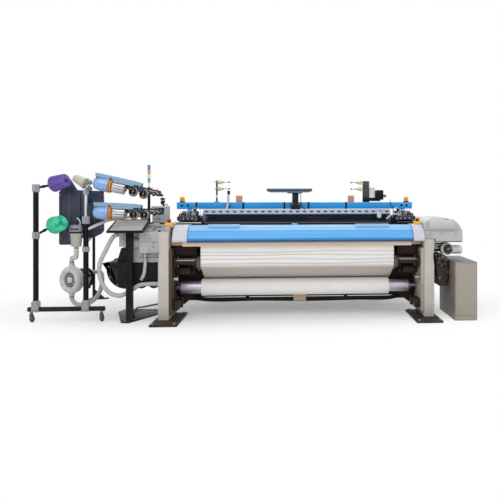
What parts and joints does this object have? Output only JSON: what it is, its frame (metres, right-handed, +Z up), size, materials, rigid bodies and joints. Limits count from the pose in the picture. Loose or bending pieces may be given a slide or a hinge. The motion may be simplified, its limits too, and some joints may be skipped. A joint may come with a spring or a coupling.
{
  "type": "shuttleless loom",
  "caption": "Shuttleless weaving loom with front cover, cloth roll, heald frames and warp beam, weft feeders, wheeled yarn creel with blower, drive housings, control cabinet and terminal.",
  "frame": {"origin": "middle of the bounding box's base, at floor level", "axes": "+Z up; -Y is the side where the weaver stands; +X along the cloth's width, to the right as seen from that side"},
  "size_m": [4.316, 1.94, 1.536],
  "materials": {
    "cast_grey": "painted light grey",
    "dark_metal": "painted dark brown",
    "tan_paint": "satin tan",
    "cover_blue": "satin light blue",
    "beam_blue": "satin blue",
    "cap_grey": "light lavender grey",
    "stop_yellow": "yellow box with a red button",
    "cloth_white": "plain woven white",
    "tube_grey": "smooth light grey",
    "reed_steel": "dark blue-green",
    "heald_metal": "satin",
    "slate_paint": "satin slate",
    "black_paint": "satin black",
    "cream_plastic": "cream",
    "warp_yarn": "undyed yarn",
    "roller_steel": "ground",
    "housing_grey": "satin light grey",
    "lamp_plastic": "clear coloured rings",
    "brake_white": "white",
    "cabinet_grey": "warm grey",
    "feeder_blue": "light blue",
    "ring_orange": "orange",
    "purple_yarn": "wound yarn",
    "green_yarn": "wound yarn",
    "cream_yarn": "wound yarn",
    "bin_grey": "grey with a black band",
    "blower_grey": "cast",
    "castor_steel": "zinc",
    "castor_rubber": "black",
    "hose_grey": "ribbed light grey",
    "cable_black": "black"
  },
  "bodies": {
    "loom": {"left_front_column": "cast_grey", "right_front_column": "cast_grey", "left_side_frame": "cast_grey", "right_side_frame": "cast_grey", "rear_cross_beam": "cast_grey", "lower_cross_beam": "dark_metal", "take_up_roller": "dark_metal", "gear_motor": "dark_metal", "breast_beam": "tan_paint", "front_cover": "cover_blue", "top_beam": "beam_blue", "left_cover_cap": "cap_grey", "right_cover_cap": "cap_grey", "left_stop_box": "stop_yellow", "right_stop_box": "stop_yellow", "cloth_web": "cloth_white", "sley_with_reed": "reed_steel", "heald_frame_1": "heald_metal", "heald_frame_2": "heald_metal", "heald_frame_3": "heald_metal", "lamp_panel": "slate_paint", "creel_panel": "slate_paint", "right_bobbin_stand": "black_paint", "feeder_stand": "black_paint", "terminal_stand": "black_paint", "creel_frame": "black_paint", "creel_rear_leg": "black_paint", "lower_cover": "black_paint", "terminal_panel": "black_paint", "left_bobbin_stand": "cream_plastic", "warp_beam": "warp_yarn", "warp_sheet": "warp_yarn", "backrest_roller": "roller_steel", "left_drive_housing": "housing_grey", "right_drive_housing": "housing_grey", "junction_box": "housing_grey", "light_tower": "lamp_plastic", "right_brake": "brake_white", "control_cabinet": "cabinet_grey", "upper_feeder": "feeder_blue", "lower_feeder": "feeder_blue", "purple_cone": "purple_yarn", "green_cone": "green_yarn", "cream_cone": "cream_yarn", "waste_bin": "bin_grey", "blower": "blower_grey", "air_hose": "hose_grey", "branch_hose": "hose_grey", "bin_hose": "hose_grey", "blower_hose": "hose_grey", "terminal_cable": "cable_black"},
    "cloth_beam": {"cloth_roll": "cloth_white", "roll_tube": "tube_grey"},
    "upper_ring": {"upper_feeder_ring": "ring_orange"},
    "lower_ring": {"lower_feeder_ring": "ring_orange"},
    "brake_disc": {"hand_disc": "black_paint"},
    "left_castor": {"left_castor_fork": "castor_steel"},
    "right_castor": {"right_castor_fork": "castor_steel"},
    "left_wheel": {"left_castor_wheel": "castor_rubber"},
    "right_wheel": {"right_castor_wheel": "castor_rubber"}
  },
  "joints": [
    {"name": "cloth_roll_turn", "type": "hinge", "parent": "loom", "child": "cloth_beam", "pos_m": [0.4, -0.48, 0.297], "axis": [1, 0, 0], "continuous": true},
    {"name": "upper_ring_turn", "type": "hinge", "parent": "loom", "child": "upper_ring", "pos_m": [-1.39, -0.68, 1.311], "axis": [0.9744, 0, -0.225], "continuous": true},
    {"name": "lower_ring_turn", "type": "hinge", "parent": "loom", "child": "lower_ring", "pos_m": [-1.39, -0.68, 1.05], "axis": [0.9986, 0, -0.0523], "continuous": true},
    {"name": "hand_disc_turn", "type": "hinge", "parent": "loom", "child": "brake_disc", "pos_m": [1.909, -0.71, 0.68], "axis": [0, 1, 0], "continuous": true},
    {"name": "left_castor_swivel", "type": "hinge", "parent": "loom", "child": "left_castor", "pos_m": [-2.1255, -0.66, 0.0974], "axis": [0, 0, 1], "continuous": true},
    {"name": "right_castor_swivel", "type": "hinge", "parent": "loom", "child": "right_castor", "pos_m": [-1.4725, -0.66, 0.0974], "axis": [0, 0, 1], "continuous": true},
    {"name": "left_wheel_roll", "type": "hinge", "parent": "left_castor", "child": "left_wheel", "pos_m": [-2.1255, -0.638, 0.032], "axis": [1, 0, 0], "continuous": true},
    {"name": "right_wheel_roll", "type": "hinge", "parent": "right_castor", "child": "right_wheel", "pos_m": [-1.4725, -0.638, 0.032], "axis": [1, 0, 0], "continuous": true}
  ]
}
